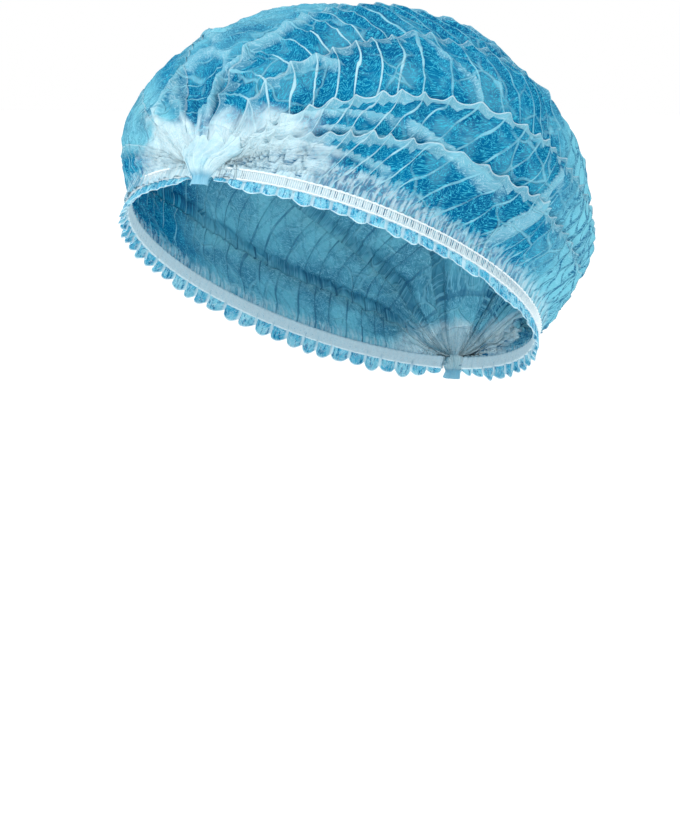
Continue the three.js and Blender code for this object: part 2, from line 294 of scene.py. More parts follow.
def dent_at(along, angle):
    total = 0
    for dent in DENTS:
        down = (along - dent["along"]) / dent["reach"]
        aside = (angle - math.radians(dent["angle"])) / math.radians(dent["spread"])
        total = total + DENT_DEPTH * dent["depth"] * np.exp(-(down**2) - aside**2)
    return total


def fold_lines(along, angle):
    """The lift and the paleness that the cross folds give."""
    lift, pale = np.zeros_like(angle), np.zeros_like(angle)
    x, y = along * CLOTH_LENGTH, angle * CLOTH_RADIUS
    for number, fold in enumerate(CROSS_FOLDS):
        line = np.array([(a * CLOTH_LENGTH, math.radians(d) * CLOTH_RADIUS) for a, d in fold["points"]])
        reach = fold["width"] * MM
        best, aside, share = np.full_like(angle, 1.0), np.zeros_like(angle), np.zeros_like(angle)
        spans = len(line) - 1
        for i, (start, end) in enumerate(zip(line[:-1], line[1:])):
            way = end - start
            t = np.clip(((x - start[0]) * way[0] + (y - start[1]) * way[1]) / (way @ way), 0, 1)
            dx, dy = x - start[0] - t * way[0], y - start[1] - t * way[1]
            distance = np.hypot(dx, dy)
            nearer = distance < best
            best = np.where(nearer, distance, best)
            aside = np.where(nearer, np.sign(way[0] * dy - way[1] * dx) * distance, aside)
            share = np.where(nearer, (i + t) / spans, share)
        ragged = reach * (1 + 0.35 * noise(x / 0.005, y / 0.005, number))
        inside = smooth(aside, -0.12 * reach, 0.05 * reach) * (1 - smooth(aside, 0.35 * ragged, ragged))
        fade = smooth(share, 0, 0.15) * (1 - smooth(share, 0.85, 1))
        band = smooth(aside, -0.06 * reach, 0.02 * reach) * (1 - np.clip(aside / ragged, 0, 1)) ** 0.6
        lift += fold["lift"] * MM * inside * fade
        pale = np.maximum(pale, fold["pale"] * band * fade)
    return lift, pale


def knot_distance(points):
    """How far points are from the nearer knot."""
    knots = from_rim(0.0, RIM_HALF_LENGTH * np.array([-1, 1]), 0.002)
    return np.minimum(*(np.linalg.norm(points - knot, axis=-1) for knot in knots))


def crease_shape(count):
    """1 on a crease, -1 midway between two."""
    return np.cos(2 * np.pi * count) + 0.15 * np.cos(4 * np.pi * count)


def panel_columns():
    """The crown's lines of points from the right elastic to the left one: (panel, layer, share)."""
    lines = []
    for panel in range(PANELS):
        count = PLEATS[panel]["columns"] if panel < PANELS - 1 else LAST_PANEL_COLUMNS
        shares = np.linspace(0, 1, count)
        if panel < CROWN_PANEL:
            lines += [(panel, "top", 1 - (1 - s) ** EDGE_CROWDING) for s in shares]
            lines += [(panel, "edge", 0.0)]
            lines += [(panel, "middle", x) for x in FOLD_SHARES]
            lines += [(panel, "bottom", x) for x in FOLD_SHARES[::-1]]
        elif panel == CROWN_PANEL:
            lines += [(panel, "top", s) for s in shares]
        else:
            lines += [(panel, "top", s**EDGE_CROWDING) for s in shares]
        if CROWN_PANEL <= panel < PANELS - 1:
            lines += [(panel, "bottom", x) for x in FOLD_SHARES]
            lines += [(panel, "middle", x) for x in FOLD_SHARES[::-1]]
            lines += [(panel, "edge", 0.0)]
    return lines


def crown_rows():
    t = np.linspace(0, 1, CROWN_ROWS)
    return lerp(END_SHARE, 1 - END_SHARE, 0.75 * t + 0.25 * (0.5 - 0.5 * np.cos(np.pi * t)))


def crown_layout():
    """The rows along the crown, and each panel's edges, width and creases on them."""
    along = crown_rows()
    edges = [np.full_like(along, -QUARTER)]
    edges += [pleat_angle(pleat, along) for pleat in PLEATS]
    edges += [np.full_like(along, QUARTER)]
    scale = [metres_a_radian(along, np.clip(edge, -1.5, 1.5)) for edge in edges]
    width = [np.abs(edges[p + 1] - edges[p]) * (scale[p] + scale[p + 1]) / 2 for p in range(PANELS)]
    pitch = CLOTH_LENGTH / RIBS
    brow = 1 - smooth(along, 0.14, 0.42)
    lean = [(CREASE_LEAN[p] + BROW_LEAN[p] * brow) * width[p] / pitch for p in range(PANELS)]
    warp = 0.5 * noise(along * RIBS * 0.45, 0.0, 1) + 0.2 * noise(along * RIBS * 1.3, 3.0, 2)
    count = [None] * PANELS  # creases passed at each panel's upper edge
    count[CROWN_PANEL] = RIBS * along + warp
    for panel in range(CROWN_PANEL + 1, PANELS):
        count[panel] = count[panel - 1] + lean[panel - 1] + 0.25 * noise(along * 9, panel * 5.0, 3)
    for panel in range(CROWN_PANEL - 1, -1, -1):
        count[panel] = count[panel + 1] + lean[panel + 1] + 0.25 * noise(along * 9, panel * 5.0, 3)
    return {
        "along": along,
        "edges": edges,
        "scale": scale,
        "width": width,
        "lean": lean,
        "count": count,
        "calm": smooth(np.sin(np.pi * along), 0.04, CALM_REACH),  # no folds in the pinched ends
        "soft": lerp(0.02, 1, smooth(along, 0.25, 0.5)),  # the right side's pleats lie flatter over the brow
        "late": 1 - 0.6 * smooth(along, 0.48, 0.65),  # the edges run smoother towards the nape
    }


def edge_swing(lay, owner, right):
    """How far the outer edge of a panel's pleat swings off its line, in radians."""
    pleat, edge = (owner, owner + 1) if right else (owner - 1, owner)
    uneven = 1 + 0.75 * noise(lay["along"] * 13, owner * 3.0, 4)
    depth = EDGE_WAVE * PLEATS[pleat]["wave"] * lay["calm"] * lay["late"] * uneven
    depth = depth * (lay["soft"] if right else -1)
    return depth * crease_shape(lay["count"][owner]) / lay["scale"][edge]


def top_column(lay, panel, share):
    """A line of points on a panel's outer face, a share of the way across it."""
    right, middle = panel < CROWN_PANEL, panel == CROWN_PANEL
    outer = 0.0 if middle else (share if right else 1 - share)
    swing = 0.0 if middle else edge_swing(lay, panel, right) * outer
    angle = lerp(lay["edges"][panel], lay["edges"][panel + 1], share) + swing
    flatter = lay["soft"] if right else 1.0
    if middle:
        flatter = lerp(lay["soft"], 1, smooth(share, 0, 0.35))
    level = PLEAT_STEP * (outer - SUNK_SHARE) + PANEL_PUFF * (math.sin(math.pi * share) - SUNK_SHARE)
    width = lay["width"][panel]
    down = FREE_OF_PLEAT + width * share if middle else width * (1 - outer)
    creases = lay["count"][panel] + (0.0 if middle else lay["lean"][panel] * (1 - outer))
    light = PLEATS[panel if right else panel - 1]["light"]
    return angle, level * lay["calm"] * flatter, creases, down, outer, light


def folded_column(lay, panel, layer, share):
    """A line of points in the cloth that is folded under the pleat's edge between a panel and the next."""
    right = panel < CROWN_PANEL
    owner, above = (panel, panel + 1) if right else (panel + 1, panel)
    toward, edge = -1 if right else 1, panel + 1
    narrower = np.minimum(lay["width"][owner], lay["width"][above])
    reach = np.minimum(OVERLAP, 0.38 * narrower) * share
    low = PLEAT_STEP * (0 - SUNK_SHARE) - PANEL_PUFF * SUNK_SHARE
    high = PLEAT_STEP * (1 - SUNK_SHARE) - PANEL_PUFF * SUNK_SHARE
    held, level, beneath, down, outer = {
        "edge": (1.0, high - 0.0004, 0.0, 0.0, 1.0),
        "middle": (1 - 0.5 * share, lerp(high - 0.0007, low + 0.0003, share), 0.0002, 0.006 * share, 0.7),
        "bottom": (0.0, low - 0.0004 * share, 0.0004, 0.03, 0.0),
    }[layer]
    angle = lay["edges"][edge] + toward * reach / lay["scale"][edge] + edge_swing(lay, owner, right) * held
    calm = lay["calm"] * lay["soft"] if right else lay["calm"]
    return angle, level * calm - beneath, lay["count"][owner], down, outer, PLEATS[panel]["light"]


def lay_columns(lay, lines):
    """All columns of points: their angle, height off the dome, creases passed and place on their pleat."""
    keys = ("angle", "off", "creases", "down", "outer", "light")
    grid = {key: np.zeros((len(lay["along"]), len(lines))) for key in keys}
    for column, (panel, layer, share) in enumerate(lines):
        top = layer == "top"
        found = top_column(lay, panel, share) if top else folded_column(lay, panel, layer, share)
        for key, values in zip(keys, found):
            grid[key][:, column] = values
    return grid


def pocket_shape(rows, degrees, x, y):
    """How far points lie from the pocket's middle, as a share of its reach, and its raised rim."""
    pocket = DENTS[0]
    ring = np.hypot((rows - pocket["along"]) / POCKET_REACH, (degrees - pocket["angle"]) / POCKET_SPREAD)
    uneven = ring + 0.22 * noise(x / 0.007, y / 0.007, 4)
    rim = np.exp(-(((uneven - 1.2) / 0.2) ** 2)) * (0.9 + 0.3 * noise(x / 0.011, y / 0.011, 1))
    return ring, rim


def gathered_ridges(rows, degrees, from_band, x, y):
    """Where cloth is bunched above the elastics near the knots, and its ridges there from -1 to 1."""
    gathers = (1 - smooth(from_band, *GATHER_FADE)) * (1 - smooth(np.sin(np.pi * rows), 0.4, 0.68))
    gathers *= np.where(degrees < 0, 0.5, 1.0)
    turns = y / GATHER_PITCH + 0.9 * noise(x / 0.009, y / 0.016, 2) + 0.3 * noise(x / 0.003, y / 0.005, 4)
    return gathers, np.sin(2 * np.pi * turns) * gathers


def knot_paleness(base, from_knot, rows, degrees):
    """How pale the cloth bunched round the knots is: further aside than up, and less at the rear."""
    across, height = base[..., 0], base[..., 2]
    by_side = np.where(degrees > 0, 0.84, 0.95)
    reach = from_knot * lerp(1.75, by_side, smooth(np.abs(degrees), 20, 66)) * np.where(rows > 0.5, 1.4, 1.0)
    cloud = noise(across / 0.009, height / 0.009, 3) + 0.4 * noise(across / 0.004, height / 0.004, 6)
    return 1 - smooth(reach + 0.007 * cloud, *KNOT_PALE_FADE)


def standing_cloth(rows, degrees, x, y):
    """Where the cloth stands clear of the hair: by the nape, right of the top and over the right brow."""
    ragged = noise(x / 0.007, y / 0.007, 3)
    standing = smooth(rows + 0.02 * ragged, 0.5, 0.6)
    top = smooth(degrees, -48, -30) * (1 - smooth(degrees, -8, 9))
    top = top * smooth(rows, 0.12, 0.3) * (0.7 + 0.5 * noise(x / 0.014, y / 0.01, 6))
    brow = smooth(-degrees, 44, 56) * (1 - smooth(-degrees, 76, 82)) * (1 - smooth(rows, 0.2, 0.4))
    return np.maximum(np.maximum(standing, top), brow)


def crown_grid():
    """The cloth's points, row by row, with what the material reads at each."""
    lay, lines = crown_layout(), panel_columns()
    grid = lay_columns(lay, lines)
    creases = grid["creases"]
    angle = np.clip(grid["angle"], -QUARTER, QUARTER)
    degrees = np.degrees(angle)
    rows = np.repeat(lay["along"][:, None], len(lines), axis=1)
    x, y = rows * CLOTH_LENGTH, angle * CLOTH_RADIUS
    base, normal = dome_point(rows, angle), dome_normal(rows, angle)
    from_knot = knot_distance(base)
    from_band = (QUARTER - np.abs(angle)) * CLOTH_RADIUS

    lift, folded = fold_lines(rows, angle)
    ring, pocket_rim = pocket_shape(rows, degrees, x, y)
    beside = np.exp(-(((rows - 0.17) / 0.06) ** 2) - ((degrees + 52) / 18) ** 2)
    lift += POCKET_RIM * pocket_rim - BESIDE_POCKET * beside
    folded = np.maximum(folded, 0.75 * pocket_rim)
    crumple = 0.8 * noise(x / 0.017, y / 0.012, 5) + 0.7 * (1 - 2 * np.abs(noise(x / 0.01, y / 0.008, 6)))
    crumple += 0.3 * noise(x / 0.0035, y / 0.0045, 1)
    flatness = np.where(angle < lay["edges"][CROWN_PANEL][:, None], lay["soft"][:, None], 1.0)
    nearest = creases - np.round(creases)
    ridge = 0.45 * np.exp(-((nearest / 0.07) ** 2))
    rib = RIB_DEPTH * (0.45 + 0.55 * grid["outer"] * flatness**2) * (crease_shape(creases) * 0.8 + ridge)

    gathers, ridges = gathered_ridges(rows, degrees, from_band, x, y)
    flute = np.exp(-from_knot / 0.02) * noise(angle * 9, rows * 40, 7)
    flute += 0.4 * np.exp(-from_knot / 0.035) * noise(base[..., 0] / 0.004, base[..., 2] / 0.006, 0)
    tuck = np.exp(-from_band / 0.005) * np.sin(2 * np.pi * x / TUCK_PITCH + 3 * noise(x / 0.01, 0.0, 2))
    folds = GATHER_DEPTH * ridges + FLUTE_DEPTH * flute + TUCK_DEPTH * tuck
    loose = rib + CRUMPLE * crumple + lift - SINK - dent_at(rows, angle)
    off = grid["off"] + loose * lay["calm"][:, None]
    off = off * smooth(from_band, 0.0, 0.006) + folds * smooth(from_band, 0.0, 0.0015)
    points = base + normal * off[..., None]

    # The foot goes on down behind the elastic, and by the front knot it hangs over it.
    behind = 1 - smooth(from_band, 0.0, 0.001)
    over = 1 - np.where(degrees < 0, smooth(rows, *SKIRT_RIGHT_END), smooth(rows, *SKIRT_LEFT_END))
    drop = CROWN_FOOT + lerp(0.001, BAND_HEIGHT / 2 + 0.0006 * noise(x / 0.004, 0.0, 3), over)
    points -= from_rim(0.0, 0.0, 1.0) * (drop * behind)[..., None]
    fold = 0.0006 * np.sin(2 * np.pi * x / 0.0052 + 5 * noise(x / 0.012, 0.0, 5))
    points += normal * ((SKIRT_PROUD + fold) * over * behind)[..., None]

    outside_pocket = 1 - np.exp(-(ring**4))
    standing = standing_cloth(rows, degrees, x, y) * outside_pocket
    low_left = np.exp(-(((rows - 0.2) / 0.1) ** 2)) * (degrees > 0)
    return {
        "points": points,
        "creases": creases,
        "down": grid["down"],
        "values": {
            "pale": knot_paleness(base, from_knot, rows, degrees) * outside_pocket,
            "folded": folded,
            # Deeper blue in the gathers, stronger in the troughs between their ridges; that part in the
            # troughs is painted shade.
            "gathers": gathers * (0.35 + 0.65 * smooth(-ridges, 0.3, 0.95)),
            "standing": standing,
            "net": standing * lerp(0.3, 1, smooth(degrees, 0, 30)),
            "light": grid["light"] * (1 - 0.6 * smooth(rows, 0.45, 0.62)),
            "foot": from_band / MM - 7 * low_left,
            "along": rows,
            "angle": angle,
        },
        "split": lines.index((CROWN_PANEL, "middle", 1.0)),
    }


def grid_faces(rows, columns):
    index = np.arange(rows * columns).reshape(rows, columns)
    a, b, c, d = index[:-1, :-1], index[:-1, 1:], index[1:, 1:], index[1:, :-1]
    return np.stack([a, b, c, d], axis=-1).reshape(-1, 4)


def loop_faces(rows, count):
    """Faces between closed loops of points."""
    index = np.arange(rows * count).reshape(rows, count)
    following = np.roll(index, -1, axis=1)
    return np.stack([index[:-1], following[:-1], following[1:], index[1:]], axis=-1).reshape(-1, 4)


def make_mesh(name, points, faces, attributes, uv, material):
    """A smooth mesh object from points, four-sided faces, values at the points and places on the cloth."""
    mesh = bpy.data.meshes.new(name)
    mesh.vertices.add(len(points))
    mesh.vertices.foreach_set("co", points.astype(np.float32).ravel())
    mesh.loops.add(faces.size)
    mesh.loops.foreach_set("vertex_index", faces.astype(np.int32).ravel())
    mesh.polygons.add(len(faces))
    mesh.polygons.foreach_set("loop_start", np.arange(0, faces.size, 4, dtype=np.int32))
    mesh.polygons.foreach_set("use_smooth", np.ones(len(faces), bool))
    mesh.update(calc_edges=True)
    mesh.validate()
    for key, values in attributes.items():
        layer = mesh.attributes.new(key, "FLOAT", "POINT")
        layer.data.foreach_set("value", np.asarray(values, np.float32).ravel())
    layer = mesh.uv_layers.new(name="cloth")
    layer.data.foreach_set("uv", uv[faces.ravel()].astype(np.float32).ravel())
    mesh.materials.append(material)
    obj = bpy.data.objects.new(name, mesh)
    bpy.context.scene.collection.objects.link(obj)
    return obj


def mesh_points(obj):
    points = np.empty(len(obj.data.vertices) * 3, np.float32)
    obj.data.vertices.foreach_get("co", points)
    return points.reshape(-1, 3).astype(float)


def grid_mesh(name, points, attributes, uv, material):
    rows, columns = points.shape[:2]
    flat = {key: values.reshape(-1) for key, values in attributes.items()}
    faces = grid_faces(rows, columns)
    return make_mesh(name, points.reshape(-1, 3), faces, flat, uv.reshape(-1, 2), material)


def srgb(color):
    def linear(c):
        c = c / 255
        return c / 12.92 if c <= 0.04045 else ((c + 0.055) / 1.055) ** 2.4

    return (*(linear(c) for c in color), 1.0)


class Nodes:
    """Short forms for building a material's nodes."""

    def __init__(self, name):
        self.material = bpy.data.materials.new(name)
        self.material.use_nodes = True
        self.tree = self.material.node_tree
        self.tree.nodes.clear()

    def put(self, socket, value):
        """Links or sets an input. Three numbers are a colour in sRGB."""
        if isinstance(value, bpy.types.NodeSocket):
            self.tree.links.new(value, socket)
        elif isinstance(value, tuple) and len(value) == 3:
            socket.default_value = srgb(value)
        else:
            socket.default_value = value

    def add(self, kind, inputs=(), **settings):
        node = self.tree.nodes.new(kind)
        for key, value in settings.items():
            setattr(node, key, value)
        for key, value in dict(inputs).items():
            self.put(node.inputs[key], value)
        return node

    def math(self, operation, a, b=0.0, clamp=False):
        node = self.add("ShaderNodeMath", {0: a, 1: b}, operation=operation, use_clamp=clamp)
        return node.outputs[0]

    def plus(self, a, b, clamp=False):
        return self.math("ADD", a, b, clamp)

    def minus(self, a, b):
        return self.math("SUBTRACT", a, b)

    def times(self, a, b):
        return self.math("MULTIPLY", a, b)

    def from_whole(self, value):
        """How far a value is from the nearest whole number."""
        return self.math("ABSOLUTE", self.minus(value, self.math("ROUND", value)))

    def vector(self, x, y):
        return self.add("ShaderNodeCombineXYZ", {"X": x, "Y": y}).outputs[0]

    def cloth_coordinates(self):
        """The two coordinates on the cloth, the second one in metres."""
        uv = self.add("ShaderNodeUVMap", uv_map="cloth").outputs["UV"]
        parts = self.add("ShaderNodeSeparateXYZ", {"Vector": uv})
        return parts.outputs["X"], self.times(parts.outputs["Y"], 1 / UV_STRETCH)

    def band(self, value, low, high):
        """0 below low, 1 above high, smooth between."""
        node = self.add("ShaderNodeMapRange", {"Value": value}, interpolation_type="SMOOTHSTEP")
        node.inputs["From Min"].default_value = low
        node.inputs["From Max"].default_value = high
        return node.outputs["Result"]

    def fall(self, value, low, high):
        """1 below low, 0 above high, smooth between."""
        return self.minus(1.0, self.band(value, low, high))

    def mix(self, share, a, b):
        node = self.add("ShaderNodeMix", data_type="RGBA")
        self.put(node.inputs["Factor"], share)
        self.put(node.inputs[6], a)
        self.put(node.inputs[7], b)
        return node.outputs[2]

    def attribute(self, name):
        return self.add("ShaderNodeAttribute", attribute_name=name).outputs["Fac"]

    def noise(self, vector, scale, detail=2.0, roughness=0.5, distortion=0.0):
        inputs = {"Vector": vector, "Scale": scale, "Detail": detail}
        inputs |= {"Roughness": roughness, "Distortion": distortion}
        return self.add("ShaderNodeTexNoise", inputs).outputs["Fac"]

    def cells(self, vector, scale):
        inputs = {"Vector": vector, "Scale": scale, "Randomness": 1.0}
        return self.add("ShaderNodeTexVoronoi", inputs).outputs["Distance"]

    def cloth_surface(self, color, height, strength, through=CLOTH_THROUGH):
        """Thin cloth that scatters some of its light through."""
        bump = self.add("ShaderNodeBump", {"Strength": strength, "Distance": BUMP_DISTANCE, "Height": height})
        inputs = {"Base Color": color, "Roughness": CLOTH_ROUGHNESS, "Normal": bump.outputs["Normal"]}
        surface = self.add("ShaderNodeBsdfPrincipled", inputs)
        surface.inputs["Sheen Weight"].default_value = 0.01
        surface.inputs["Sheen Roughness"].default_value = 0.5
        surface.inputs["Specular IOR Level"].default_value = 0.03
        behind = self.add("ShaderNodeBsdfTranslucent", {"Color": color, "Normal": bump.outputs["Normal"]})
        both = self.add("ShaderNodeMixShader", {0: through, 1: surface.outputs[0], 2: behind.outputs[0]})
        output = self.add("ShaderNodeOutputMaterial")
        self.tree.links.new(both.outputs[0], output.inputs["Surface"])
        return self.material


def squiggles(n, creases, down, sag=1.1):
    """Fine wavy embossed lines along the cloth, sagging between creases: the lines and their height."""
    wave = n.math("COSINE", n.times(creases, 2 * math.pi))
    x = n.times(creases, CLOTH_LENGTH / RIBS / MM)
    y = n.plus(n.math("DIVIDE", down, MM), n.times(wave, sag))
    fine = n.noise(n.vector(n.times(x, 0.75), n.times(y, 1.25)), 0.74, 2.0, 0.5, 0.9)
    line = n.math("ABSOLUTE", n.minus(fine, 0.5))
    return n.fall(line, 0.015, 0.042), fine


def net_of_creases(n, along, angle, broad, patch):
    """The far side's creases, seen through the near cloth as a dark net."""
    lines = []
    for lean in (5.5, -5.5):
        count = n.plus(n.times(along, float(RIBS)), n.times(angle, lean))
        count = n.plus(count, n.times(broad, 0.8))
        lines.append(n.fall(n.from_whole(count), 0.06, 0.11))
    return n.times(n.math("MAXIMUM", *lines), n.band(patch, 0.2, 0.5))


def doubled_cloth(n, creases, down, broad, patch):
    """The doubled cloth below each pleat's edge, in slanted steps on its lower side, and the edge's line."""
    saw = n.math("FRACT", n.plus(creases, n.times(broad, 0.8)))
    reach = n.plus(0.002, n.times(saw, 0.0036))
    reach = n.plus(reach, n.times(n.minus(patch, 0.5), 0.003))
    doubled = n.fall(n.minus(down, reach), -0.0004, 0.0003)
    edge = n.fall(down, 0.0003, 0.0008)
    light = n.attribute("light")
    return n.times(doubled, light), n.times(edge, light)


def wrinkle_lines(n, position):
    """Loose creases in some places, as the edges of bent cells."""
    bend = n.add("ShaderNodeTexNoise", {"Vector": position, "Scale": 60.0}).outputs["Color"]
    bent = n.add("ShaderNodeMix", {0: 0.012, 4: position, 5: bend}, data_type="VECTOR").outputs[1]
    cells = n.add("ShaderNodeTexVoronoi", {"Vector": bent, "Scale": 62.0}, feature="DISTANCE_TO_EDGE")
    lines = n.fall(cells.outputs["Distance"], 0.012, 0.05)
    return n.times(lines, n.band(n.noise(position, 38.0, 2.0), 0.42, 0.62))


def crown_material():
    n = Nodes("pleated_cloth")
    creases, down = n.cloth_coordinates()
    along, angle = n.attribute("along"), n.attribute("angle")
    position = n.add("ShaderNodeTexCoord").outputs["Object"]
    lines, fine = squiggles(n, creases, down)
    broad = n.noise(position, 45.0, 3.0)
    patch = n.noise(position, 160.0, 3.0)
    net = net_of_creases(n, along, angle, broad, patch)
    doubled, edge = doubled_cloth(n, creases, down, broad, patch)
    wrinkle = wrinkle_lines(n, position)
    standing = n.attribute("standing")

    # Paleness with cloudy edges, folds with torn ones and tucks of uneven height above the elastics.
    streak = n.minus(n.noise(n.vector(n.times(along, 22.0), n.times(angle, 20.0)), 1.0, 3.0), 0.5)
    lobes = n.minus(n.noise(position, 85.0, 4.0, 0.6, 0.8), 0.5)
    cloudy = n.plus(n.times(streak, 0.05), n.times(lobes, 0.9))
    pale = n.band(n.plus(n.attribute("pale"), cloudy), 0.15, 0.85)
    torn = n.times(n.minus(patch, 0.5), 0.9)
    torn = n.plus(torn, n.times(n.minus(n.math("FRACT", creases), 0.5), 0.3))
    folded = n.band(n.plus(n.attribute("folded"), n.times(torn, 0.6)), 0.12, 0.7)
    tucks = n.minus(n.noise(n.vector(n.times(along, 210.0), n.times(angle, 22.0)), 1.0, 2.0), 0.5)
    foot = n.minus(n.attribute("foot"), n.times(tucks, 10.0))
    foot = n.minus(foot, n.times(n.minus(broad, 0.5), 9.0))
    foot = n.minus(foot, n.times(n.math("FRACT", creases), 2.5))
    foot = n.fall(foot, 1.6, 4.2)

    # Blue cloth, lighter where light comes through it, with the net and the layers on it.
    color = n.mix(n.band(broad, 0.35, 0.65), DEEP_BLUE, MID_BLUE)
    through = n.times(standing, n.plus(0.45, n.times(n.band(broad, 0.35, 0.6), 0.55)))
    color = n.mix(through, color, STANDING_BLUE)
    thin = n.times(n.band(n.noise(position, 75.0, 4.0), 0.5, 0.66), 0.3)
    color = n.mix(thin, color, STANDING_BLUE)
    color = n.mix(n.times(n.times(net, n.attribute("net")), 0.85), color, DARK_LINE)
    fold_color = n.mix(n.band(n.attribute("pale"), 0.0, 0.5), DOUBLED_AND_SHADE, GATHERED)
    color = n.mix(n.times(folded, 0.75), color, fold_color)
    color = n.mix(n.times(doubled, 0.8), color, DOUBLED_AND_SHADE)
    layered = n.math("MAXIMUM", folded, doubled)
    line_color = n.mix(n.math("MAXIMUM", standing, layered), FINE_LINE, RIB_LINE)
    line_color = n.mix(layered, line_color, GATHERED)
    strength = n.minus(0.85, n.times(layered, 0.5))
    color = n.mix(n.times(lines, strength), color, line_color)
    color = n.mix(n.times(wrinkle, 0.55), color, RIB_LINE)
    stripe = n.band(tucks, -0.08, 0.1)
    foot_color = n.mix(n.band(n.attribute("foot"), 0.5, 6.0), GATHERED, DOUBLED_AND_SHADE)
    color = n.mix(n.times(foot, n.plus(0.15, n.times(stripe, 0.5))), color, foot_color)
    color = n.mix(n.times(pale, 0.95), color, GATHERED)

    # A light line on each crease, of uneven width and strength, and clearer over the left brow.
    jitter = n.times(n.minus(patch, 0.5), 0.09)
    rib = n.fall(n.plus(n.from_whole(creases), jitter), 0.03, 0.06)
    rib_color = n.mix(n.times(standing, 0.8), RIB_LINE, DARK_LINE)
    rib_color = n.mix(pale, rib_color, GATHERED)
    uneven = n.band(n.noise(position, 110.0, 2.0), 0.3, 0.65)
    by_brow = n.times(n.band(angle, 0.1, 0.3), n.fall(along, 0.2, 0.34))
    by_brow = n.times(n.times(by_brow, 0.45), n.minus(1.0, pale))
    shown = n.plus(n.plus(0.25, n.times(uneven, 0.6)), by_brow, clamp=True)
    color = n.mix(n.times(rib, shown), color, n.mix(by_brow, rib_color, GATHERED))
    color = n.mix(n.times(edge, 0.75), color, GATHERED)
    color = n.mix(n.times(n.times(lines, pale), 0.35), color, DOUBLED_AND_SHADE)
    # Deeper blue crinkled strips in the gathers, strongest in their troughs, where they are painted shade.
    crinkles = n.noise(n.vector(n.times(along, 34.0), n.times(angle, 80.0)), 1.0, 1.0, 0.5, 0.7)
    gathers = n.plus(0.1, n.times(n.band(crinkles, 0.52, 0.6), 0.9))
    color = n.mix(n.times(n.attribute("gathers"), gathers), color, MID_BLUE)

    height = n.plus(n.times(fine, 0.8), n.times(rib, 0.5))
    for relief, share in (
        (n.times(streak, n.attribute("pale")), 5.0),
        (n.times(tucks, foot), 2.0),
        (n.cells(position, 210.0), 1.6),
        (n.cells(position, 95.0), 3.0),
        (wrinkle, 1.5),
    ):
        height = n.plus(height, n.times(relief, share))
    return n.cloth_surface(color, height, 0.9)


def make_crown(material):
    grid = crown_grid()
    uv = np.stack([grid["creases"], grid["down"] * UV_STRETCH], axis=-1)
    split = grid["split"]
    pieces = []
    for hand, cut in (("right", slice(None, split)), ("left", slice(split - 1, None))):
        values = {key: layer[:, cut] for key, layer in grid["values"].items()}
        pieces.append(grid_mesh(f"crown_cloth_{hand}", grid["points"][:, cut], values, uv[:, cut], material))
    return pieces


def rim_point(along, side, out, up):
    """Points of the opening's edge, moved out in its plane and up from it. Side is 1 on the wearer's left."""
    turn = np.pi * along
    facing = np.stack([np.sin(turn) / RIM_HALF_WIDTH, -np.cos(turn) / RIM_HALF_LENGTH])
    facing = facing / np.linalg.norm(facing, axis=0)
    across = RIM_HALF_WIDTH * np.sin(turn) + out * facing[0]
    length = -RIM_HALF_LENGTH * np.cos(turn) + out * facing[1]
    return from_rim(side * across, length, up)


def make_ruffle(name, side, material):
    steps = SCALLOPS * STEPS_A_SCALLOP
    along = lerp(STRIP_START, STRIP_END, np.linspace(0, 1, steps + 1))[:, None]
    share = np.linspace(0, 1, RUFFLE_ROWS)[None, :]
    turn = np.pi * SCALLOPS * (along - STRIP_START) / (STRIP_END - STRIP_START)
    turn = turn + 0.5 * noise(turn / 5, 1.0 + side, 2)
    lobe = np.abs(np.sin(turn))
    full = lerp(RUFFLE_LEFT_SHARE, 1, smooth(np.sin(np.pi * along), 0, CALM_REACH))
    size = 1 + 0.12 * noise(turn / 3, 4.0 + side, 3)
    drop = RUFFLE_DROP * full * size * (0.72 + 0.28 * lobe**0.7) * share
    x = along * CLOTH_LENGTH
    tuck = 0.0003 * (1 - share) * np.sin(2 * np.pi * x / RUFFLE_TUCK_PITCH)
    bulge = RUFFLE_WAVE * (1 - 2 * np.exp(-((lobe / 0.45) ** 2)))
    out = RUFFLE_FLARE * share + bulge * np.sin(share * 1.9) + tuck - RUFFLE_INSIDE
    out = out + 0.0005 * share * noise(turn / 1.7, share * 3, 5)
    up = BAND_HEIGHT / 2 - RUFFLE_TOP - drop
    points = rim_point(np.broadcast_to(along, drop.shape), side, out, up)
    if side < 0:
        points = points[:, ::-1]
        share = share[:, ::-1]
        drop = drop[:, ::-1]
    shape = points.shape[:2]
    coordinates = (turn / np.pi, drop * UV_STRETCH)
    uv = np.stack([np.broadcast_to(c, shape) for c in coordinates], axis=-1)
    values = {"hem": np.broadcast_to(share, shape)}
    return grid_mesh(name, points, values, uv, material)


def ruffle_material():
    n = Nodes("ruffle_cloth")
    scallops, down = n.cloth_coordinates()
    hem = n.attribute("hem")
    position = n.add("ShaderNodeTexCoord").outputs["Object"]
    lines, fine = squiggles(n, scallops, down)
    patch = n.noise(position, 200.0, 3.0)
    notch = n.fall(n.from_whole(scallops), 0.05, 0.12)
    rim = n.band(hem, 0.9, 0.97)
    dash = n.band(n.noise(n.vector(n.times(scallops, 9.0), n.times(down, 300.0)), 1.0, 2.0), 0.5, 0.62)
    color = n.mix(n.band(patch, 0.35, 0.65), RUFFLE_BLUE, DOUBLED_AND_SHADE)
    color = n.mix(n.times(dash, 0.85), color, MID_BLUE)
    color = n.mix(n.times(lines, 0.4), color, GATHERED)
    color = n.mix(n.times(n.math("MAXIMUM", notch, rim), 0.75), color, GATHERED)
    return n.cloth_surface(color, fine, 0.4)


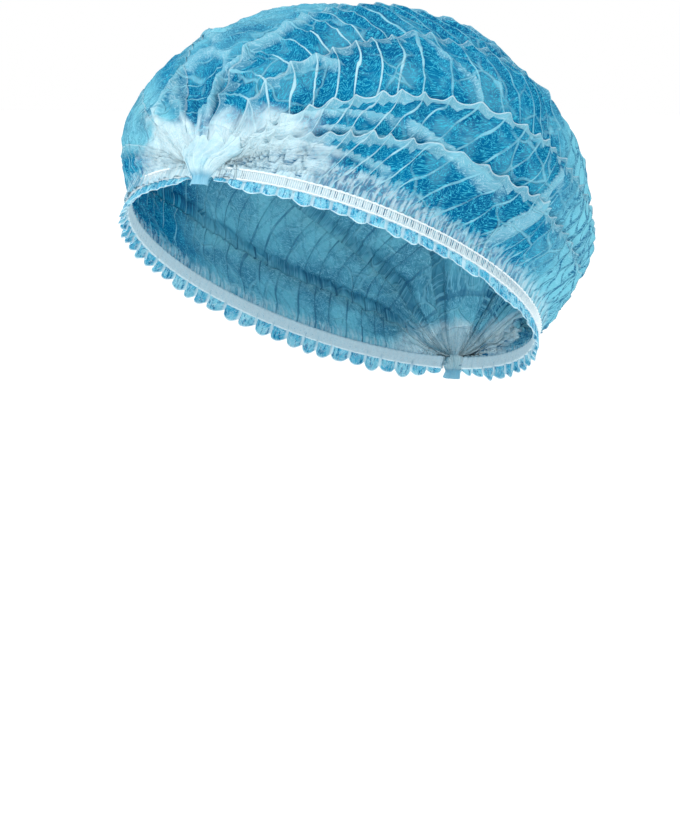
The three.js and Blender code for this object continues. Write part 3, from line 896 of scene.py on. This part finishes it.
def tube(path, radius, sides):
    """Points and faces of a round thread along a path."""
    ahead = np.gradient(path, axis=0)
    ahead /= np.linalg.norm(ahead, axis=1, keepdims=True)
    up = np.broadcast_to(from_rim(0.0, 0.0, 1.0), ahead.shape)
    out = np.cross(ahead, up)
    out /= np.linalg.norm(out, axis=1, keepdims=True)
    turn = np.linspace(0, 2 * np.pi, sides, endpoint=False)
    ring = np.cos(turn)[None, :, None] * out[:, None] + np.sin(turn)[None, :, None] * up[:, None]
    points = path[:, None] + ring * radius
    return points.reshape(-1, 3), loop_faces(len(path), sides)


def joined(parts):
    """Points, faces and one value a part, as one set."""
    points, faces, values, start = [], [], [], 0
    for part_points, part_faces, value in parts:
        points.append(part_points)
        faces.append(part_faces + start)
        values.append(np.full(len(part_points), value))
        start += len(part_points)
    return np.concatenate(points), np.concatenate(faces), np.concatenate(values)


def make_elastic(name, side, material):
    """The woven strip with a row of stitching along each edge and cross threads between."""
    along = lerp(STRIP_START, STRIP_END, np.linspace(0, 1, ELASTIC_STEPS + 1))
    half = BAND_HEIGHT / 2
    heights = np.array([-1, -0.8, -0.4, 0, 0.4, 0.8, 1]) * half
    x = along * CLOTH_LENGTH
    pucker = 0.00018 * np.sin(2 * np.pi * x / PUCKER_PITCH + 2 * noise(x / 0.02, 5.0, 1))
    loop_up = np.concatenate([heights, heights[::-1]])
    loop_out = np.concatenate([np.full(7, BAND_PROUD - 0.0002), np.full(7, BAND_PROUD - 0.0013)])
    if side > 0:
        loop_up, loop_out = loop_up[::-1], loop_out[::-1]
    rows = [rim_point(along, side, out + pucker, up) for up, out in zip(loop_up, loop_out)]
    strip = np.stack(rows, axis=1).reshape(-1, 3)
    parts = [(strip, loop_faces(len(along), len(rows)), 0.0)]
    for height in (-0.82 * half, 0.72 * half):
        wobble = 0.00012 * np.sin(2 * np.pi * x / STITCH_PITCH)
        path = rim_point(along, side, BAND_PROUD + 0.0001 + wobble + pucker, np.full_like(along, height))
        parts.append((*tube(path, STITCH_RADIUS, 6), 1.0))
    for bar in np.linspace(0.024, 0.976, CROSS_THREADS):
        ends = np.linspace(-0.7, 0.6, 4)
        spot = bar + CROSS_THREAD_LEAN * ends
        path = rim_point(spot, side, BAND_PROUD + 0.0001 + 0.0001 * (1 - ends**2), ends * half)
        parts.append((*bar_tube(path, CROSS_THREAD_RADIUS), 0.8))
    points, faces, thread = joined(parts)
    uv = np.stack([points[:, 1], points[:, 2]], axis=-1)
    return make_mesh(name, points, faces, {"thread": thread}, uv, material)


def bar_tube(path, radius):
    """A short thread across the elastic, with four sides."""
    ahead = path[-1] - path[0]
    ahead = ahead / np.linalg.norm(ahead)
    aside = np.cross(ahead, path[0] / np.linalg.norm(path[0]))
    aside /= np.linalg.norm(aside)
    out = np.cross(aside, ahead)
    ring = np.stack([aside, out, -aside, -out]) * radius
    points = path[:, None] + ring[None]
    return points.reshape(-1, 3), loop_faces(len(path), 4)


def elastic_material():
    n = Nodes("stitched_elastic")
    position = n.add("ShaderNodeTexCoord").outputs["Object"]
    fine = n.noise(position, 1800.0, 2.0)
    color = n.mix(n.attribute("thread"), ELASTIC_BASE, ELASTIC_WHITE)
    color = n.mix(n.times(n.band(fine, 0.45, 0.7), 0.25), color, DOUBLED_AND_SHADE)
    return n.cloth_surface(color, fine, 0.3, ELASTIC_THROUGH)


# The knots' sections as in the solids, from the top down: shares of the rise or of the tab's drop, of the
# width and of the depth.
KNOT_SECTIONS = table("name up width depth", [
    ("top", 1.0, 0.9, 0.0),
    ("fan", 0.8, 1.0, 0.6),
    ("bunch", 0.35, 0.82, 1.0),
    ("waist", -0.15, 0.46, 0.65),
    ("weld", -0.55, 0.3, 0.0),
    ("tab_end", -1.0, 0.36, 0.0),
])


def crown_face(end, across, up, cloth):
    """How far out, towards the knot's end, the crown's cloth lies at places across and up from the rim."""
    length = end * (cloth[:, 1] * math.cos(RIM_TILT) - cloth[:, 2] * math.sin(RIM_TILT))
    height = cloth[:, 1] * math.sin(RIM_TILT) + cloth[:, 2] * math.cos(RIM_TILT)
    near = (length > RIM_HALF_LENGTH * 0.6) & (height < 3 * KNOT_RISE)
    near &= np.abs(cloth[:, 0]) < 2 * KNOT_WIDTH
    spots = np.stack([cloth[near, 0], height[near], np.zeros(near.sum())], axis=-1)
    tree = KDTree(len(spots))
    for index, spot in enumerate(spots):
        tree.insert(spot, index)
    tree.balance()
    length = length[near]
    found = [
        max(length[hit[1]] for hit in tree.find_n((x, y, 0), 9)) for x, y in zip(across.ravel(), up.ravel())
    ]
    return np.array(found).reshape(across.shape)


def make_knot(name, end, cloth, material):
    """A fluted bunch of cloth that spreads over the crown's face, above a flat tab."""
    seat = RIM_HALF_LENGTH + BAND_PROUD + SEAM_GAP
    tab_drop = BAND_HEIGHT / 2 + TAB_DROP
    heights = [s["up"] * (KNOT_RISE if s["up"] > 0 else tab_drop) for s in KNOT_SECTIONS]
    down = np.linspace(0, 1, KNOT_STEPS)
    marks = np.linspace(0, 1, len(KNOT_SECTIONS))
    up = np.interp(down, marks, heights)[:, None]
    width = np.interp(down, marks, [s["width"] for s in KNOT_SECTIONS])
    depth = np.interp(down, marks, [s["depth"] for s in KNOT_SECTIONS])
    kernel = np.hanning(11) / np.hanning(11).sum()
    width = np.convolve(np.pad(width, 5, "edge"), kernel, "valid")[:, None] * KNOT_WIDTH / 2
    depth = np.convolve(np.pad(depth, 5, "edge"), kernel, "valid")[:, None]
    fan = 1 - smooth(down[:, None], 0, 0.55)
    width = width * (1 + FAN_SPREAD * fan)
    turn = np.linspace(0, np.pi, KNOT_SIDES)[None, :]
    across = -end * width * np.cos(turn)
    ragged = 0.003 * noise(turn * 5, 0.0, 6) * fan
    up = up + ragged + 0.003 * fan * (np.sin(turn) - 0.6)
    flutes = noise(turn * 6, down[:, None] * 1.2, 2) + 0.7 * noise(turn * 15, down[:, None] * 2.5, 4)
    relief = 0.0009 * flutes * (1 - fan) * (0.3 + depth) * np.sin(turn) ** 0.3
    thick = np.maximum(depth * KNOT_DEPTH, TAB_THICKNESS) * np.sin(turn) ** 0.5
    front = seat - RIM_HALF_LENGTH * (1 - np.sqrt(1 - (across / RIM_HALF_WIDTH) ** 2))
    face = np.maximum(crown_face(end, across, up, cloth) + 0.00015, seat - 0.02)
    out = lerp(front, face, smooth(up, 0.002, 0.006)) + thick * (1 - fan) + relief
    points = from_rim(across, end * out, up)
    coordinates = (turn / np.pi * 6, up * UV_STRETCH)
    uv = np.stack([np.broadcast_to(c, out.shape) for c in coordinates], axis=-1)
    # Painted shade: the hollows between the flutes, where less light falls, are marked to be painted a deeper
    # blue.
    shade = np.clip(0.5 - 0.9 * flutes, 0, 1) * np.clip(depth + 0.3, 0, 1)
    values = {"hollow": shade, "tab": np.broadcast_to(smooth(-up, 0, 0.003), out.shape)}
    return grid_mesh(name, points, values, uv, material)


def knot_material():
    n = Nodes("gathered_cloth")
    lines, fine = squiggles(n, *n.cloth_coordinates(), 0.3)
    position = n.add("ShaderNodeTexCoord").outputs["Object"]
    patch = n.noise(position, 220.0, 3.0)
    color = n.mix(n.times(n.band(patch, 0.45, 0.75), 0.3), GATHERED, DOUBLED_AND_SHADE)
    # Painted shade: deeper blue in the hollows between the flutes.
    color = n.mix(n.times(n.attribute("hollow"), 0.25), color, DOUBLED_AND_SHADE)
    color = n.mix(n.times(lines, 0.25), color, DOUBLED_AND_SHADE)
    color = n.mix(n.times(n.attribute("tab"), 0.65), color, RUFFLE_BLUE)
    return n.cloth_surface(color, fine, 0.5)


def set_stage():
    """A pale floor well below, a white world and soft lamps."""
    bpy.ops.mesh.primitive_plane_add(size=80, location=(0, 0, -0.45))
    floor = bpy.context.object
    floor.name = "floor"
    n = Nodes("floor_paint")
    surface = n.add("ShaderNodeBsdfPrincipled", {"Base Color": (0.98, 0.98, 0.98, 1), "Roughness": 0.95})
    surface.inputs["Emission Color"].default_value = (1, 1, 1, 1)
    surface.inputs["Emission Strength"].default_value = 0.12
    output = n.add("ShaderNodeOutputMaterial")
    n.tree.links.new(surface.outputs[0], output.inputs["Surface"])
    floor.data.materials.append(n.material)
    world = bpy.data.worlds.new("studio")
    world.use_nodes = True
    world.node_tree.nodes["Background"].inputs["Color"].default_value = (1, 1, 1, 1)
    world.node_tree.nodes["Background"].inputs["Strength"].default_value = 1.0
    bpy.context.scene.world = world
    for name, place, size, power in (
        ("key", (-0.5, -1.3, 1.2), 0.6, 14.0),
        ("side", (1.4, -0.3, 0.5), 0.8, 5.0),
    ):
        lamp = bpy.data.lights.new(name, "AREA")
        lamp.size = size
        lamp.energy = power
        holder = bpy.data.objects.new(name, lamp)
        holder.location = place
        holder.rotation_euler = (-Vector(place)).to_track_quat("-Z", "Y").to_euler()
        bpy.context.scene.collection.objects.link(holder)
    bpy.context.scene.view_settings.view_transform = "Standard"


def set_camera():
    """The photo's camera: it looks past the origin so that the origin falls on its pixel, with no roll."""
    azimuth, elevation = CAMERA_AZIMUTH, CAMERA_ELEVATION
    right = Vector((math.cos(azimuth), math.sin(azimuth), 0))
    level = Vector((math.sin(azimuth), -math.cos(azimuth), 0))
    back = level * math.cos(elevation) + Vector((0, 0, math.sin(elevation)))
    up = back.cross(right)
    pitch = math.atan2(IMAGE_HEIGHT / 2 - ORIGIN_PIXEL[1], CAMERA_FOCAL_PIXELS)
    yaw = math.atan2(ORIGIN_PIXEL[0] - IMAGE_WIDTH / 2, CAMERA_FOCAL_PIXELS)
    forward = -back * math.cos(pitch) - up * math.sin(pitch)
    forward = forward * math.cos(yaw) - right * math.sin(yaw)
    right = forward.cross(Vector((0, 0, 1))).normalized()
    up = right.cross(forward)
    camera = bpy.data.cameras.new("camera")
    camera.sensor_width = SENSOR_WIDTH
    camera.lens = CAMERA_FOCAL_PIXELS * SENSOR_WIDTH / max(IMAGE_WIDTH, IMAGE_HEIGHT)
    holder = bpy.data.objects.new("camera", camera)
    turn = Matrix((right, up, -forward)).transposed()
    holder.matrix_world = Matrix.Translation(back * CAMERA_DISTANCE) @ turn.to_4x4()
    bpy.context.scene.collection.objects.link(holder)
    bpy.context.scene.camera = holder


def dress(piece, node):
    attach(piece, "root")
    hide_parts(node)


crown_pieces = make_crown(crown_material())
for crown_piece in crown_pieces:
    dress(crown_piece, "crown")
ruffle_cloth = ruffle_material()
elastic_cloth = elastic_material()
for hand, side in (("left", 1), ("right", -1)):
    dress(make_ruffle(f"ruffle_cloth_{hand}", side, ruffle_cloth), f"ruffle_{hand}")
    dress(make_elastic(f"elastic_strip_{hand}", side, elastic_cloth), f"elastic_{hand}")
knot_cloth = knot_material()
cloth_points = np.concatenate([mesh_points(crown_piece) for crown_piece in crown_pieces])
for node, end in (("front_knot", -1), ("rear_knot", 1)):
    dress(make_knot(f"{node}_cloth", end, cloth_points, knot_cloth), node)

set_stage()
set_camera()
